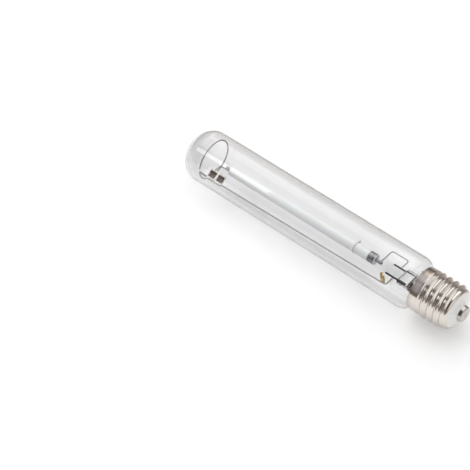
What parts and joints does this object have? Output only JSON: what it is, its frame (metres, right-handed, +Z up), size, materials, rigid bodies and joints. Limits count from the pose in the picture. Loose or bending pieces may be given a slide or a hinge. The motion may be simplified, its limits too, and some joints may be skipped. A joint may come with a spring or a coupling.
{
  "type": "high pressure sodium lamp",
  "caption": "Clear tubular high pressure sodium lamp with a ceramic arc tube on a wire frame and a large screw cap.",
  "frame": {"origin": "middle of the centre contact's end face", "axes": "+X along the lamp's axis, out of the cap; +Z up; the frame's wires lie in the XY plane"},
  "size_m": [0.283, 0.046, 0.046],
  "materials": {
    "clear_glass": "clear gloss",
    "stem_glass": "pressed clear gloss",
    "arc_tube_ceramic": "translucent satin",
    "cap_insulator_white": "gloss",
    "cap_nickel": "bright nickel plate",
    "contact_metal": "satin",
    "frame_wire": "satin nickel wire",
    "lead_rod_dark": "dark oxide",
    "niobium": "matt grey",
    "electrode_metal": "matt grey",
    "band_metal": "dark satin",
    "getter_dark": "matt sintered",
    "getter_strip_metal": "bright strip",
    "ring_getter_gold": "satin",
    "solder_grey": "satin solder",
    "cement": "matt baked cement"
  },
  "bodies": {
    "root": {"outer_bulb": "clear_glass", "stem_glass": "stem_glass", "exhaust_tube": "stem_glass", "rail_lead_rod": "lead_rod_dark", "feed_lead_rod": "lead_rod_dark", "contact_lead": "frame_wire", "side_lead": "frame_wire", "arc_tube": "arc_tube_ceramic", "near_plug": "arc_tube_ceramic", "far_plug": "arc_tube_ceramic", "near_niobium_tube": "niobium", "far_niobium_tube": "niobium", "near_electrode": "electrode_metal", "far_electrode": "electrode_metal", "heat_band": "band_metal", "starting_clip": "frame_wire", "frame_rail": "frame_wire", "end_hoop": "frame_wire", "feed_wire": "frame_wire", "arc_tube_strap": "frame_wire", "getter_strip": "getter_strip_metal", "near_getter_pad": "getter_dark", "far_getter_pad": "getter_dark", "getter_ring": "ring_getter_gold", "cap_shell": "cap_nickel", "cap_insulator": "cap_insulator_white", "centre_contact": "contact_metal", "contact_solder": "solder_grey", "side_solder": "solder_grey", "cap_cement": "cement"}
  },
  "joints": []
}
